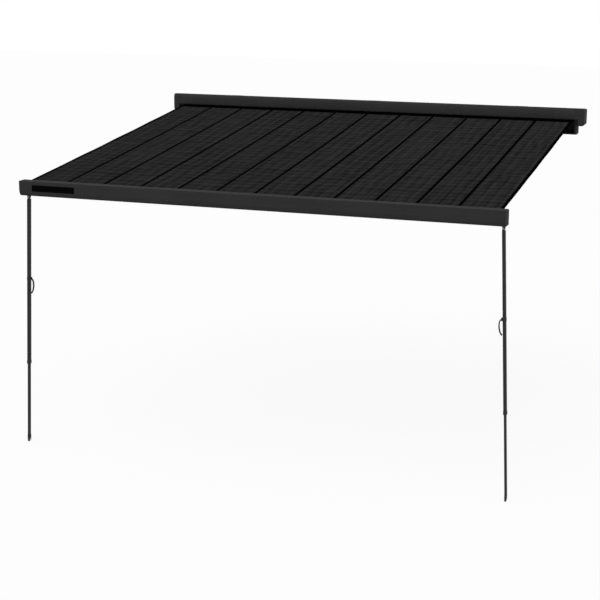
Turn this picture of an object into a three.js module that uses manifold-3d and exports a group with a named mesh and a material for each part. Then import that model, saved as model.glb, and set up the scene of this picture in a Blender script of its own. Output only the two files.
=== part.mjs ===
// Box awning for a vehicle wall: a long cassette, two folding arms, a front rail on two
// telescopic legs, and a canopy of twelve panels that winds onto a roller.
// Millimetres. +X runs to the right along the awning, +Y points at the wall, +Z is up.
// The origin is the centre of the middle wall bracket's back face.
import * as THREE from 'three';
import { mergeVertices } from 'three/addons/utils/BufferGeometryUtils.js';
import Module from 'manifold-3d';

const wasm = await Module();
wasm.setup();

// Driving dimensions

const gap = 0.3; // clearance between neighbours that rest on each other
const overrun = 2; // how far a cutting tool reaches past what it cuts
const sink = 1; // how far two shapes of one piece reach into each other before they are joined

const layout = {
  projection: 3310, // wall to the front rail's front face
  drop: 300, // origin down to the front rail's top edge
  foldedFront: 267.987929, // wall to the front rail's front face, folded
  foldedDrop: 1.728109, // origin down to the front rail's top edge, folded
  railInset: 57, // end cap's outer face in to the rail's end
  fabricPlay: 5, // fabric's edge to the end cap's inner face
  armInset: 124, // end cap's inner face in to the arm pivots
  legInset: 31, // rail's end in to the leg pivots
};

const angles = {
  armOpen: 12, // each link against the straight line, fully open
  legSplay: 2.5, // each leg leans out by this much
};

const wallBracket = {
  thickness: 12,
  width: 110,
  spacing: 1400,
  tabThickness: 2.5,
  tabReach: 14,
  ledgeThickness: 4,
  ledgeReach: 60,
  boltRadius: 4.5,
  boltRise: 55,
};

const caseBody = {
  wall: 3,
  coverWall: 2.5,
  top: 113, // outside top of the cover at its crown
  rearTop: 97.9, // where the top, which falls towards the wall, would meet the wall side
  floor: -127, // outside bottom of the tray
  crownY: -168, // where the cover's rounded front corner meets its top
  frontReach: 24, // crown to the foremost point of the cover
  frontHeight: 50, // height of the foremost point
  lipHeight: 17, // bottom edge of the cover's front lip
  lipDip: 68, // lower half-axis of the cover's front curve
  cornerShare: 0.7, // how squarely the front turns over into the top
  floorFront: -139, // front edge of the tray
  floorBead: 7,
  topFlange: 30,
  tabPlay: 3, // wall bracket's tab to the cover's rear edge
  sealWidth: 3,
  sealGrip: 4, // how far the seal reaches up behind the lip
  sealDrop: 5, // and how far it hangs below it
};

const endCap = {
  outer: 2003, // outer face, from the middle of the awning: it sets the awning's length
  depth: 89, // outer face in to the inner face, as the next two are
  shoulderDepth: 53, // from here outwards the cap reaches below the cover
  plateDepth: 69, // outer face of the lower plate, beside the tray
  bottom: -46,
  cornerRadius: 26, // lower front corner, seen from the side
  wall: 4,
  dome: 4, // how far the outer face's edges are rounded
  domeInset: 5,
  upperCorner: 16, // rounded outer corners, seen from the front
  lowerCorner: 20,
};

const roller = {
  y: -70,
  z: 57.8,
  radius: 38,
  wall: 2,
  overhang: 2, // tube past the fabric at each end
  windingRadius: 42, // the turns that stay on the tube when the awning is open
  plugDepth: 30,
  flange: 3,
  shaftRadius: 9,
};

const winch = {
  wheelRadius: 20,
  toothHeight: 3,
  teeth: 14,
  toothShares: [0, 0.35, 0.5, 0.85], // along a tooth's pitch: root, root's end, tip, tip's end
  wheelWidth: 20,
  wormRadius: 8,
  meshGap: 0.5,
  shaftRadius: 5,
  wormHalfLength: 24,
  eyeRadius: 11,
  eyeWire: 3.2,
  eyeDrop: 19, // end cap's lower face to the eye's middle
  housingWall: 3,
  housingWidth: 34,
  bodyGap: 1,
};

const bearing = { width: 22, reach: 30 };

const rail = {
  depth: 124.5,
  height: 121,
  wall: 3,
  flat: 68, // straight upper stretch of the front face
  bottomFront: 35.5, // how far back the front face has curved at the bottom
  curveLead: 30,
  curveTail: 20,
  topFlat: 60,
  lipY: 110,
  lipDrop: 9.5,
  channelHalf: 20.5, // half the width of the leg channel
  channelTop: -52,
  chamberFloor: -30,
  chamberRear: 92,
  capThickness: 5.7,
  capTab: 4,
};

const keder = { y: 100, z: -13.6, slotRadius: 4.2, mouth: 3 };

const badge = { inset: 301, middleZ: -53, width: 372, height: 50, thickness: 1.6, corner: 4 };

const arm = {
  pivotY: 169, // front pivot, from the rail's front face
  pivotZ: -80, // front pivot, from the rail's top edge
  closedReach: 42, // distance between an arm's two end pivots when it is folded
  tongue: 24, // height of the knuckle between two lugs
  lug: 8, // thickness of one lug
  play: 0.5, // between tongue and lug
  pinRadius: 6,
  headRadius: 9,
  headHeight: 2.5,
  side: 3, // pivot line to the tube's near face
  knuckleNear: 1, // pivot line to the casting's near face
  waistEnd: 14, // pivot to where the knuckle's waist starts to widen
  castStart: 27, // pivot to the full-height casting
  castEnd: 52, // pivot to the end of the tube
  plug: 38,
};

const upperArm = { width: 34, height: 44, wall: 2.5, knuckle: 19, waist: 18 };
const foreArm = { width: 30, height: 40, wall: 2.5, knuckle: 19, tipKnuckle: 17, waist: 16 };

const shoulder = { lugRadius: 19, blockHalf: 19, blockDepth: 13, seatThickness: 8 };
const railFork = { lugRadius: 17, blockHalf: 23, blockDepth: 7.5, blockHeight: 64, lugReach: 40 };

const legMount = {
  pivotZ: -98, // fold pivot, from the rail's top edge
  plate: 3,
  plateDrop: 18, // side plate's lower edge, under the pivot
  inboard: 30,
  outboard: 22,
  eyeRadius: 12,
  eyeHalf: 14,
  trunnion: 5,
};

const legHead = {
  neckWidth: 20,
  neckDepth: 28,
  neckEnd: 52,
  tongueWidth: 9.6,
  tongueDepth: 20,
  swingDrop: 14, // outer tube's upper end to the swing pivot
  trunnion: 4,
};

const legTube = {
  width: 24, // along the awning
  depth: 34, // towards the wall
  corner: 5,
  wall: 1.8,
  lead: 6, // neck's end to the tube's upper end
  end: 1427, // fold pivot to the tube's lower end
  notch: 26,
};

const innerTube = { width: 17.6, depth: 28.4, corner: 4, wall: 1.6, overlap: 250, tail: 12 };

const collar = { wall: 1.5, height: 27, floor: 5 };

const band = { start: 703, height: 24, wall: 1.2, earReach: 23, earWidth: 3 };

const lever = {
  pivotReach: 6, // band face to the lever's pivot
  pivotDown: 14, // band's upper edge to the lever's pivot
  width: 14,
  thickness: 8.4,
  bow: 27, // how far the loop stands out from its pivot
  length: 118,
  bellyShare: 0.8, // how far down its length the loop stays out
  hub: 6,
  trunnion: 2.5,
};

const foot = {
  pivot: 2052, // fold pivot to foot pivot
  ear: 3.3,
  earHalf: 8,
  trunnion: 4,
  baseTop: 18,
  baseHalf: 10,
  soleTop: 44,
  soleHalf: 14,
  soleBottom: 52,
  corner: 4,
};

const canopy = { thickness: 2.2, seamThickness: 1.2, panels: 12, hem: 14.8, seam: 19.5 };

const roundSides = 16; // pins, knuckles and shafts
const rollerSides = 12; // half the sides of the roller and its winding
const curveSides = 6; // half the sides of each large curve
const caseSides = 8; // half the sides of the cassette's curves
const cornerSides = 2; // half the sides of each small corner

// Derived places

const rad = THREE.MathUtils.degToRad;
const caseRear = -(wallBracket.thickness + gap);
const coverRear = -(wallBracket.thickness + wallBracket.tabReach + caseBody.tabPlay);
const topFall = (caseBody.top - caseBody.rearTop) / (caseRear - caseBody.crownY);

// The rail folds in along the arms' plane, which slopes down from the wall
const travel = new THREE.Vector2(layout.projection - layout.foldedFront, layout.drop - layout.foldedDrop);
const slope = travel.angle();
const open = rad(angles.armOpen);
const reach = travel.length() + arm.closedReach;
const link = reach / Math.cos(open) / 2;
const railPlace = new THREE.Vector3(0, -layout.projection, -layout.drop);
const shoulderY = railPlace.y + arm.pivotY + reach * Math.cos(slope);
const shoulderZ = railPlace.z + arm.pivotZ + reach * Math.sin(slope);
const lugInner = arm.tongue / 2 + arm.play;
const lugOuter = lugInner + arm.lug;
const capInner = endCap.outer - endCap.depth;
const capShoulder = endCap.outer - endCap.shoulderDepth;
const plateOuter = endCap.outer - endCap.plateDepth;
const coverHalf = capInner - gap;
const windingHalf = capInner - layout.fabricPlay;
const railHalf = endCap.outer - layout.railInset;
const armPivotX = capInner - layout.armInset;
const legPivotX = railHalf - layout.legInset;
const channelRear = rail.depth - rail.wall;
const channelY = channelRear - rail.channelHalf;
const channelFront = channelY - rail.channelHalf;

// Distances down each leg from its fold pivot
const tubeStart = legHead.neckEnd + legTube.lead;
const swingPivot = tubeStart + legHead.swingDrop;
const bandEnd = band.start + band.height;
const innerStart = legTube.end - innerTube.overlap;
const innerEnd = foot.pivot + innerTube.tail;

// The canopy runs from the keder in the rail to the underside of the winding
const slot = new THREE.Vector2(railPlace.y + keder.y, railPlace.z + keder.z);
const axle = new THREE.Vector2(roller.y, roller.z);
const slotToAxle = axle.clone().sub(slot);
const fabricBelow = roller.windingRadius + gap + canopy.thickness / 2;
const fabricSlope = slotToAxle.angle() - Math.asin(fabricBelow / slotToAxle.length());
const fabricLength = Math.sqrt(slotToAxle.lengthSq() - fabricBelow ** 2);

// Materials

function finish(color, roughness, metalness) {
  return new THREE.MeshStandardMaterial({ color, roughness, metalness, flatShading: true });
}

const blackAluminium = finish(0x2b2c2e, 0.45, 0.6);
const blackPlastic = finish(0x1b1c1d, 0.6, 0);
const badgePlastic = finish(0x0a0a0b, 0.3, 0);
const castAluminium = finish(0x3a3b3d, 0.55, 0.7);
const armAluminium = finish(0x303133, 0.45, 0.6);
const steel = finish(0xa9abad, 0.35, 0.9);
const rubber = finish(0x101010, 0.85, 0);
const fabric = finish(0x232426, 0.8, 0);
const rollerAluminium = finish(0x9a9c9e, 0.4, 0.9);

// Solids

function toSolid(geometry) {
  const plain = geometry.clone();
  plain.deleteAttribute('normal');
  plain.deleteAttribute('uv');
  const merged = mergeVertices(plain);
  return new wasm.Manifold(new wasm.Mesh({
    numProp: 3,
    vertProperties: new Float32Array(merged.attributes.position.array),
    triVerts: new Uint32Array(merged.index.array),
  }));
}

function toGeometry(solid) {
  const mesh = solid.getMesh();
  const geometry = new THREE.BufferGeometry();
  geometry.setAttribute('position', new THREE.BufferAttribute(mesh.vertProperties, 3));
  geometry.setIndex(new THREE.BufferAttribute(mesh.triVerts, 1));
  geometry.computeVertexNormals();
  return geometry;
}

function join(...geometries) {
  return toGeometry(geometries.map(toSolid).reduce((whole, next) => whole.add(next)));
}

function cut(geometry, ...tools) {
  return toGeometry(tools.map(toSolid).reduce((whole, tool) => whole.subtract(tool), toSolid(geometry)));
}

const X = new THREE.Vector3(1, 0, 0);
const Y = new THREE.Vector3(0, 1, 0);
const Z = new THREE.Vector3(0, 0, 1);
const alongX = new THREE.Matrix4().makeBasis(Y, Z, X);
const alongY = new THREE.Matrix4().makeBasis(X, Z, Y.clone().negate());

function extrude(shape, depth, curveSegments = cornerSides) {
  return new THREE.ExtrudeGeometry(shape, { depth, bevelEnabled: false, curveSegments });
}

// A shape drawn in Y and Z, from one X to another
function prismX(shape, from, to, curveSegments = cornerSides) {
  return extrude(shape, to - from, curveSegments).applyMatrix4(alongX).translate(from, 0, 0);
}

// A shape drawn in X and Z, from one Y to another
function prismY(shape, from, to, curveSegments = cornerSides) {
  return extrude(shape, to - from, curveSegments).applyMatrix4(alongY).translate(0, to, 0);
}

// A shape drawn in X and Y, from one Z to another
function prismZ(shape, from, to) {
  return extrude(shape, to - from).translate(0, 0, from);
}

function ordered(a, b) {
  return a < b ? [a, b] : [b, a];
}

function halves(width) {
  return [-width / 2, width / 2];
}

function block(x, y, z) {
  const size = [x, y, z].map(([low, high]) => high - low);
  const middle = [x, y, z].map(([low, high]) => (low + high) / 2);
  return new THREE.BoxGeometry(...size).translate(...middle);
}

function rodX(radius, from, to, y, z) {
  return new THREE.CylinderGeometry(radius, radius, to - from, roundSides)
    .rotateZ(-Math.PI / 2).translate((from + to) / 2, y, z);
}

function rodY(radius, from, to, x, z) {
  return new THREE.CylinderGeometry(radius, radius, to - from, roundSides)
    .translate(x, (from + to) / 2, z);
}

function rodZ(radius, from, to, x, y) {
  return new THREE.CylinderGeometry(radius, radius, to - from, roundSides)
    .rotateX(Math.PI / 2).translate(x, y, (from + to) / 2);
}

function outline(points) {
  return new THREE.Shape(points.map(([a, b]) => new THREE.Vector2(a, b)));
}

function roundedRectangle(width, height, radius) {
  const a = width / 2 - radius;
  const b = height / 2 - radius;
  const shape = new THREE.Shape();
  shape.absarc(a, b, radius, 0, Math.PI / 2);
  shape.absarc(-a, b, radius, Math.PI / 2, Math.PI);
  shape.absarc(-a, -b, radius, Math.PI, Math.PI * 1.5);
  shape.absarc(a, -b, radius, Math.PI * 1.5, Math.PI * 2);
  return shape;
}

function roundedTube(width, height, radius, wall) {
  const shape = roundedRectangle(width, height, radius);
  shape.holes.push(roundedRectangle(width - 2 * wall, height - 2 * wall, radius - wall));
  return shape;
}

// A pin with a head at each end, standing on Z with its middle at the origin
function headedPin(radius, half, headRadius, headHeight) {
  const profile = [
    [0, -half - headHeight], [headRadius, -half - headHeight], [headRadius, -half], [radius, -half],
    [radius, half], [headRadius, half], [headRadius, half + headHeight], [0, half + headHeight],
  ];
  return new THREE.LatheGeometry(profile.map(([r, z]) => new THREE.Vector2(r, z)), roundSides)
    .rotateX(Math.PI / 2);
}

function piece(group, name, geometry, material) {
  const mesh = new THREE.Mesh(geometry, material);
  mesh.name = name;
  group.add(mesh);
  return mesh;
}

function groupAt(parent, x, y, z) {
  const group = new THREE.Group();
  group.position.set(x, y, z);
  parent.add(group);
  return group;
}

const sides = [['left', -1], ['right', 1]];

// Cassette

// The height of the cassette's top at one distance from the wall, grown or shrunk by an offset
function topAt(y, offset) {
  return caseBody.rearTop + (caseRear - y) * topFall + offset;
}

// From the foremost point over the rounded corner to the crown; backwards runs the other way
function frontCorner(shape, offset, backwards) {
  const front = caseBody.crownY - caseBody.frontReach - offset;
  const from = new THREE.Vector2(front, caseBody.frontHeight);
  const tip = new THREE.Vector2(front, topAt(front, offset));
  const to = new THREE.Vector2(caseBody.crownY, topAt(caseBody.crownY, offset));
  const rise = from.clone().lerp(tip, caseBody.cornerShare);
  const run = to.clone().lerp(tip, caseBody.cornerShare);
  const points = backwards ? [run, rise, from] : [rise, run, to];
  shape.bezierCurveTo(...points.flatMap((point) => [point.x, point.y]));
}

// The cover's outer curve from its lip round to its crown
function coverCurve(shape, offset) {
  const across = caseBody.frontReach + offset;
  const dip = caseBody.lipDip + offset;
  const lipAngle = Math.asin((caseBody.frontHeight - caseBody.lipHeight) / caseBody.lipDip);
  shape.absellipse(caseBody.crownY, caseBody.frontHeight, across, dip, Math.PI + lipAngle, Math.PI, true, 0);
  frontCorner(shape, offset, false);
}

function lipFace(offset) {
  const lipAngle = Math.asin((caseBody.frontHeight - caseBody.lipHeight) / caseBody.lipDip);
  return caseBody.crownY - (caseBody.frontReach + offset) * Math.cos(lipAngle);
}

function coverProfile() {
  const outer = new THREE.Shape();
  coverCurve(outer, 0);
  outer.lineTo(coverRear, topAt(coverRear, 0));
  outer.lineTo(coverRear, caseBody.frontHeight);
  outer.closePath();
  const inner = new THREE.Shape();
  coverCurve(inner, -caseBody.coverWall);
  inner.lineTo(coverRear + overrun, topAt(coverRear + overrun, -caseBody.coverWall));
  inner.lineTo(coverRear + overrun, 0);
  inner.lineTo(lipFace(-caseBody.coverWall) + overrun, 0);
  const past = coverHalf + overrun;
  const hollow = prismX(inner, -past, past, caseSides);
  return cut(prismX(outer, -coverHalf, coverHalf, caseSides), hollow);
}

function coverSeal() {
  const front = lipFace(-caseBody.coverWall) + gap;
  const top = caseBody.lipHeight + caseBody.sealGrip;
  const bottom = caseBody.lipHeight - caseBody.sealDrop;
  const strip = outline([
    [front, top], [front, bottom],
    [front + caseBody.sealWidth, bottom], [front + caseBody.sealWidth, top],
  ]);
  return prismX(strip, -coverHalf, coverHalf);
}

// The top flange lies under the cover's rear edge and runs on to the wall brackets' tabs
function flangeTop(y) {
  return topAt(y, -caseBody.coverWall - gap);
}

function backProfile() {
  const rear = caseRear;
  const inner = rear - caseBody.wall;
  const flangeEnd = rear - caseBody.topFlange;
  const floor = caseBody.floor;
  const section = outline([
    [rear, flangeTop(rear)], [flangeEnd, flangeTop(flangeEnd)],
    [flangeEnd, flangeTop(flangeEnd) - caseBody.wall], [inner, flangeTop(inner) - caseBody.wall],
    [inner, floor + caseBody.wall],
    [caseBody.floorFront + caseBody.wall, floor + caseBody.wall],
    [caseBody.floorFront + caseBody.wall, floor + caseBody.floorBead],
    [caseBody.floorFront, floor + caseBody.floorBead], [caseBody.floorFront, floor], [rear, floor],
  ]);
  return prismX(section, -coverHalf, coverHalf);
}

// The end cap's outer section, from the wall over the top and round the front
function capSection(offset) {
  const bottom = endCap.bottom - offset;
  const corner = endCap.cornerRadius;
  const face = caseBody.crownY - caseBody.frontReach;
  const front = face - offset;
  const shape = new THREE.Shape();
  shape.moveTo(caseRear + offset, bottom);
  shape.lineTo(caseRear + offset, topAt(caseRear + offset, offset));
  shape.lineTo(caseBody.crownY, topAt(caseBody.crownY, offset));
  frontCorner(shape, offset, true);
  shape.lineTo(front, endCap.bottom + corner);
  shape.quadraticCurveTo(front, bottom, face + corner, bottom);
  return shape;
}

// What lies outside a rounded corner whose sharp point is at x and z; up is +1 or -1
function cornerTool(radius, x, z, up) {
  const past = z + up * overrun;
  const start = z - up * radius;
  const shape = new THREE.Shape();
  shape.moveTo(x - radius, past);
  shape.lineTo(x + overrun, past);
  shape.lineTo(x + overrun, start);
  shape.lineTo(x, start);
  shape.absarc(x - radius, start, radius, 0, up * Math.PI / 2, up < 0);
  return prismY(shape, 2 * (caseBody.crownY - caseBody.frontReach), overrun, curveSides);
}

// Rounds the cap's or its hollow's outer corners; the upper one follows the falling top
function roundCorners(geometry, offset) {
  const x = endCap.outer + offset;
  const upper = cornerTool(endCap.upperCorner + offset, x, topAt(caseBody.crownY, offset), 1)
    .applyMatrix4(new THREE.Matrix4().makeShear(0, 0, 0, -topFall, 0, 0))
    .translate(0, 0, topFall * caseBody.crownY);
  const lower = cornerTool(endCap.lowerCorner + offset, x, endCap.bottom - offset, -1);
  return cut(geometry, upper, lower);
}

function capBlock() {
  const options = {
    depth: endCap.depth - endCap.dome,
    bevelEnabled: true,
    bevelThickness: endCap.dome,
    bevelSize: endCap.domeInset,
    bevelOffset: -endCap.domeInset,
    bevelSegments: 3,
    curveSegments: caseSides,
  };
  const skin = new THREE.ExtrudeGeometry(capSection(0), options).applyMatrix4(alongX).translate(capInner, 0, 0);
  const squareEnd = capInner + endCap.dome + endCap.domeInset;
  const square = prismX(capSection(0), capInner, squareEnd, caseSides);
  const plate = block(
    [capInner, plateOuter],
    [caseBody.floorFront, caseRear],
    [caseBody.floor, caseBody.rearTop - endCap.wall],
  );
  return join(roundCorners(join(skin, square), 0), plate);
}

function capHollow() {
  const room = prismX(
    capSection(-endCap.wall), capInner - overrun, endCap.outer - endCap.wall, caseSides,
  );
  const upperFloor = block(
    [capInner, capShoulder + endCap.wall],
    [caseBody.crownY - 2 * caseBody.frontReach, caseBody.floorFront + endCap.wall],
    [2 * caseBody.floor, caseBody.lipHeight + endCap.wall],
  );
  return cut(roundCorners(room, -endCap.wall), upperFloor);
}

function endCapShell(side) {
  const beyond = caseBody.crownY - 2 * caseBody.frontReach;
  const inward = block(
    [capInner - 2 * endCap.dome, capInner], [beyond, overrun], [2 * caseBody.floor, 2 * caseBody.top],
  );
  const railRoom = block(
    [capInner - overrun, capShoulder], [beyond, caseBody.floorFront], [2 * caseBody.floor, caseBody.lipHeight],
  );
  const lowerHollow = block(
    [capInner - overrun, plateOuter - endCap.wall],
    [caseBody.floorFront + endCap.wall, caseRear - endCap.wall],
    [caseBody.floor + endCap.wall, caseBody.lipHeight],
  );
  const shell = cut(capBlock(), inward, railRoom, capHollow(), lowerHollow);
  return side > 0 ? shell : cut(mirrored(shell), winchHole());
}

function mirrored(geometry) {
  const flipped = geometry.clone().scale(-1, 1, 1);
  const index = flipped.index.array;
  for (let i = 0; i < index.length; i += 3) [index[i], index[i + 1]] = [index[i + 1], index[i]];
  flipped.computeVertexNormals();
  return flipped;
}

function wallBracketShape() {
  const half = wallBracket.width / 2;
  const thick = -wallBracket.thickness;
  const tabEnd = thick - wallBracket.tabReach;
  const [tabRoot, tabTip] = [thick, tabEnd].map((y) => flangeTop(y) + gap);
  const ledgeTop = caseBody.floor - gap;
  const section = outline([
    [0, ledgeTop - wallBracket.ledgeThickness], [0, tabRoot + wallBracket.tabThickness],
    [tabEnd, tabTip + wallBracket.tabThickness], [tabEnd, tabTip],
    [thick, tabRoot], [thick, ledgeTop],
    [thick - wallBracket.ledgeReach, ledgeTop],
    [thick - wallBracket.ledgeReach, ledgeTop - wallBracket.ledgeThickness],
  ]);
  const holes = [-1, 1].map((end) => rodY(
    wallBracket.boltRadius, -wallBracket.thickness - overrun, overrun, 0, end * wallBracket.boltRise,
  ));
  return cut(prismX(section, -half, half), ...holes);
}

// Roller and winch

const tubeHalf = windingHalf + roller.overhang;
const wormY = roller.y - winch.wheelRadius - winch.toothHeight - winch.wormRadius - winch.meshGap;
const winchMiddle = -(endCap.outer - endCap.wall - winch.bodyGap - winch.housingWidth / 2);
const winchTop = roller.z + winch.wormHalfLength;
const eyeZ = endCap.bottom - winch.eyeDrop;

function winchHole() {
  const low = endCap.bottom - overrun;
  const high = endCap.bottom + endCap.wall + overrun;
  return rodZ(winch.shaftRadius + gap, low, high, winchMiddle, wormY);
}

// A pipe round the roller's axis, drawn so that a flat of each circle faces its neighbour's flat
function rollerPipe(outer, inner, half) {
  const ring = new THREE.Shape();
  ring.absarc(0, 0, outer, 0, Math.PI * 2);
  const bore = new THREE.Path();
  bore.absarc(0, 0, inner, 0, Math.PI * 2);
  ring.holes.push(bore);
  return prismX(ring, -half, half, rollerSides).translate(0, roller.y, roller.z);
}

function rollerTube() {
  return rollerPipe(roller.radius, roller.radius - roller.wall, tubeHalf);
}

function fabricWinding() {
  return rollerPipe(roller.windingRadius, roller.radius + gap, windingHalf);
}

function rollerPlug(shaftEnd) {
  const bore = roller.radius - roller.wall;
  const plug = rodX(bore - 2 * gap, tubeHalf - roller.plugDepth, tubeHalf + gap + sink, 0, 0);
  const rim = rodX(bore, tubeHalf + gap, tubeHalf + gap + roller.flange, 0, 0);
  const shaft = rodX(roller.shaftRadius, tubeHalf, shaftEnd, 0, 0);
  return join(plug, rim, shaft);
}

function wormWheel() {
  const half = winch.wheelWidth / 2;
  const root = winch.wheelRadius;
  const tip = winch.wheelRadius + winch.toothHeight;
  const [footShare, rootShare, riseShare, tipShare] = winch.toothShares;
  const flank = [[footShare, root], [rootShare, root], [riseShare, tip], [tipShare, tip]];
  const points = [];
  for (let tooth = 0; tooth < winch.teeth; tooth += 1) {
    for (const [share, radius] of flank) {
      const turn = (tooth + share) * Math.PI * 2 / winch.teeth;
      points.push([radius * Math.cos(turn), radius * Math.sin(turn)]);
    }
  }
  return prismX(outline(points), -winchMiddle - half, -winchMiddle + half);
}

function driveWheel() {
  const shaftEnd = -winchMiddle + winch.wheelWidth / 2 + winch.housingWall;
  const whole = join(rollerPlug(shaftEnd), wormWheel());
  return whole.rotateZ(Math.PI).translate(0, roller.y, roller.z);
}

function idlerPlug() {
  return rollerPlug(tubeHalf + gap + roller.flange + bearing.width).translate(0, roller.y, roller.z);
}

function idlerBearing() {
  const start = tubeHalf + roller.flange + 2 * gap;
  const body = block(
    [start, start + bearing.width], [roller.y - bearing.reach, caseRear - endCap.wall - gap],
    [roller.z - bearing.reach, roller.z + bearing.reach],
  );
  const end = start + bearing.width;
  return cut(body, rodX(roller.shaftRadius + gap, start - overrun, end + overrun, roller.y, roller.z));
}

function winchHousing() {
  const half = winch.housingWidth / 2;
  const outer = winch.wheelRadius + winch.toothHeight + winch.bodyGap;
  const wormRoom = winch.wormRadius + winch.bodyGap;
  const wall = winch.housingWall;
  const front = wormY - wormRoom - wall;
  const low = roller.z - winch.wormHalfLength - winch.bodyGap - wall;
  const high = roller.z + winch.wormHalfLength + winch.bodyGap + wall;
  const left = winchMiddle - half;
  const right = winchMiddle + half;
  const body = block([left, right], [front, caseRear - endCap.wall - gap], [low, high]);
  const wheelRoom = rodX(outer, left - overrun, right - wall, roller.y, roller.z);
  const wormBore = rodZ(wormRoom, low + wall, high - wall, winchMiddle, wormY);
  const shaftBore = rodZ(winch.shaftRadius + gap, low - overrun, high, winchMiddle, wormY);
  const rollerBore = rodX(roller.shaftRadius + gap, winchMiddle, right + overrun, roller.y, roller.z);
  return cut(body, wheelRoom, wormBore, shaftBore, rollerBore);
}

function winchShaft() {
  const worm = rodZ(winch.wormRadius, roller.z - winch.wormHalfLength, winchTop, winchMiddle, wormY);
  const shaft = rodZ(winch.shaftRadius, eyeZ + winch.eyeRadius - sink, roller.z, winchMiddle, wormY);
  const eye = new THREE.TorusGeometry(winch.eyeRadius, winch.eyeWire, curveSides, roundSides)
    .rotateX(Math.PI / 2).translate(winchMiddle, wormY, eyeZ);
  return join(worm, shaft, eye);
}

// Arms

// The frame the arms fold in: X stays, Y runs up the slope, Z is square to it
function slopeFrame(parent, x, y, z) {
  const frame = groupAt(parent, x, y, z);
  frame.rotation.x = slope;
  return frame;
}

function disc(radius, low, high, y) {
  return rodZ(radius, low, high, 0, y);
}

function pinBore(y) {
  return disc(arm.pinRadius + gap, -lugOuter - overrun, lugOuter + overrun, y);
}

// A casting that carries a tube beside the pivot line. toward is +1 where the tube runs away from
// the pivot along +Y and -1 where it comes up to it; hand says on which side of the line it lies.
function armCasting(member, hand, pivotAt, toward, knuckle, forked) {
  const far = arm.side + member.width;
  const middle = arm.side + member.width / 2;
  const at = (along) => pivotAt + toward * along;
  const waist = outline([
    [hand * arm.knuckleNear, at(arm.castEnd - gap)], [hand * far, at(arm.castEnd - gap)],
    [hand * far, at(arm.castStart)], [hand * member.waist, at(arm.waistEnd)],
    [hand * member.waist, at(0)], [hand * arm.knuckleNear, at(0)],
  ]);
  const full = outline([
    [hand * arm.knuckleNear, at(arm.castEnd - gap)], [hand * far, at(arm.castEnd - gap)],
    [hand * far, at(arm.castStart)], [hand * arm.knuckleNear, at(arm.castStart)],
  ]);
  const bore = 2 * (member.wall + gap);
  const plugSection = roundedRectangle(member.width - bore, member.height - bore, member.wall - gap);
  const plugEnds = ordered(at(arm.castEnd - sink), at(arm.castEnd + arm.plug));
  const plug = prismY(plugSection, ...plugEnds).translate(hand * middle, 0, 0);
  const half = Math.max(member.height / 2, forked ? lugOuter : 0);
  const body = prismZ(full, -half, half);
  const bands = forked ? [[-lugOuter, -lugInner], [lugInner, lugOuter]] : [[-arm.tongue / 2, arm.tongue / 2]];
  const lugs = bands.flatMap(([low, high]) => [disc(knuckle, low, high, pivotAt), prismZ(waist, low, high)]);
  return cut(join(body, plug, ...lugs), pinBore(pivotAt));
}

function armTube(member, hand) {
  const section = roundedTube(member.width, member.height, member.wall * 2, member.wall);
  const offset = hand * (arm.side + member.width / 2);
  return prismY(section, arm.castEnd, link - arm.castEnd).translate(offset, 0, 0);
}

function armPin() {
  return headedPin(arm.pinRadius, lugOuter + gap, arm.headRadius, arm.headHeight);
}

// Two lugs and the block that carries them, on the slope frame of a pivot
function pivotLugs(radius, reachOut) {
  const ends = [[-lugOuter, -lugInner], [lugInner, lugOuter]];
  return ends.map(([low, high]) => join(
    disc(radius, low, high, 0), block([-radius, radius], ordered(0, reachOut), [low, high]),
  ));
}

function tilted(geometry) {
  return geometry.clone().rotateX(slope);
}

function shoulderBracket() {
  const rear = caseRear - caseBody.wall - gap - shoulderY;
  const seat = caseBody.floor + caseBody.wall + gap - shoulderZ;
  const blockFront = rear - shoulder.blockDepth;
  const lugs = pivotLugs(shoulder.lugRadius, rear - arm.lug).map(tilted);
  const across = [-shoulder.blockHalf, shoulder.blockHalf];
  const spine = block(across, [blockFront, rear], [seat, lugOuter + arm.lug]);
  const sole = block(across, [-shoulder.lugRadius, rear], [seat, seat + shoulder.seatThickness]);
  return cut(join(spine, sole, ...lugs), tilted(pinBore(0)));
}

function railArmBracket() {
  const face = rail.depth + gap - arm.pivotY;
  const half = railFork.blockHeight / 2;
  const lugs = pivotLugs(railFork.lugRadius, -railFork.lugReach).map(tilted);
  const across = [-railFork.blockHalf, railFork.blockHalf];
  const plate = block(across, [face, face + railFork.blockDepth], [-half, half]);
  return cut(join(plate, ...lugs), tilted(pinBore(0)));
}

function upperArmLink(base, name, side) {
  const upper = groupAt(base, 0, 0, 0);
  upper.rotation.z = Math.PI - side * open;
  const root = armCasting(upperArm, side, 0, 1, upperArm.knuckle, false);
  const fork = armCasting(upperArm, side, link, -1, upperArm.knuckle, true);
  piece(upper, `upper_arm_root_${name}`, root, castAluminium);
  piece(upper, `upper_arm_tube_${name}`, armTube(upperArm, side), armAluminium);
  piece(upper, `upper_arm_fork_${name}`, fork, castAluminium);
  const elbowPin = piece(upper, `elbow_pin_${name}`, armPin(), steel);
  elbowPin.position.y = link;
  return upper;
}

function forearmLink(upper, name, side) {
  const fore = groupAt(upper, 0, link, 0);
  fore.rotation.z = 2 * side * open;
  const elbow = armCasting(foreArm, side, 0, 1, foreArm.knuckle, false);
  const tip = armCasting(foreArm, side, link, -1, foreArm.tipKnuckle, false);
  piece(fore, `forearm_elbow_${name}`, elbow, castAluminium);
  piece(fore, `forearm_tube_${name}`, armTube(foreArm, side), armAluminium);
  piece(fore, `forearm_tip_${name}`, tip, castAluminium);
}

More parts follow.
